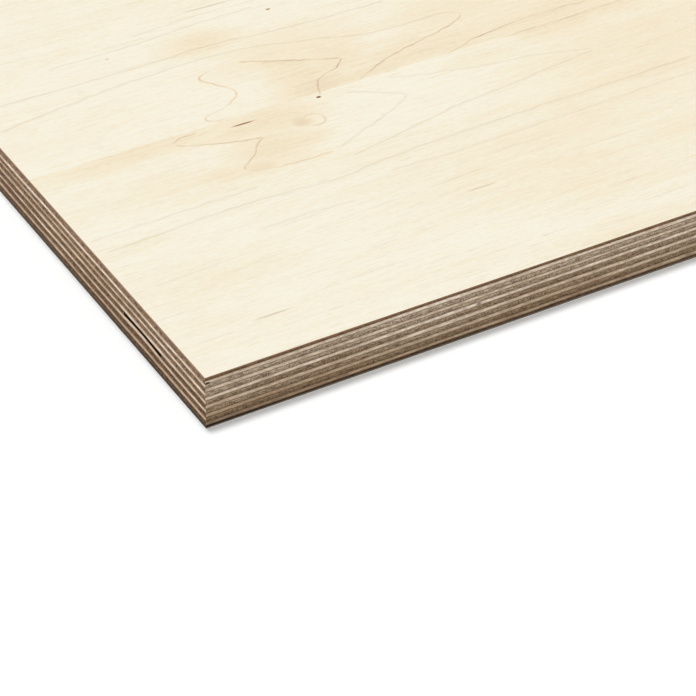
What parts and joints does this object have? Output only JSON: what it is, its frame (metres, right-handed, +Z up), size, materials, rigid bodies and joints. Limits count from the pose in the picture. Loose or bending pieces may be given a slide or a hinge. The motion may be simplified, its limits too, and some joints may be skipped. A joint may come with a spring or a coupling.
{
  "type": "plywood sheet",
  "caption": "Flat sheet of furniture plywood with a pale maple face, cross-laid birch plies showing at its trimmed edges, and an open knot hole in one core ply.",
  "frame": {"origin": "middle of the sheet's back, on the surface that it lies on", "axes": "+X along the face grain and the sheet's length, +Y across it, +Z up out of the face"},
  "size_m": [1.22, 0.61, 0.018],
  "materials": {
    "maple_face": "sliced maple veneer, sanded and unfinished, book-matched",
    "maple_back": "sliced maple veneer, sanded and unfinished",
    "birch_along_length": "rotary-cut birch veneer with its grain along the sheet, sawn edges",
    "birch_along_width": "rotary-cut birch veneer with its grain across the sheet, sawn edges"
  },
  "bodies": {
    "root": {"maple_face_leaf_1": "maple_face", "maple_face_leaf_2": "maple_face", "maple_face_leaf_3": "maple_face", "maple_face_leaf_4": "maple_face", "birch_ply_01": "birch_along_width", "birch_ply_03": "birch_along_width", "birch_ply_05": "birch_along_width", "birch_ply_07": "birch_along_width", "birch_ply_09": "birch_along_width", "birch_ply_11": "birch_along_width", "birch_ply_13": "birch_along_width", "birch_ply_02": "birch_along_length", "birch_ply_04": "birch_along_length", "birch_ply_06": "birch_along_length", "birch_ply_08": "birch_along_length", "birch_ply_10": "birch_along_length", "birch_ply_12": "birch_along_length", "maple_back_veneer": "maple_back"}
  },
  "joints": []
}
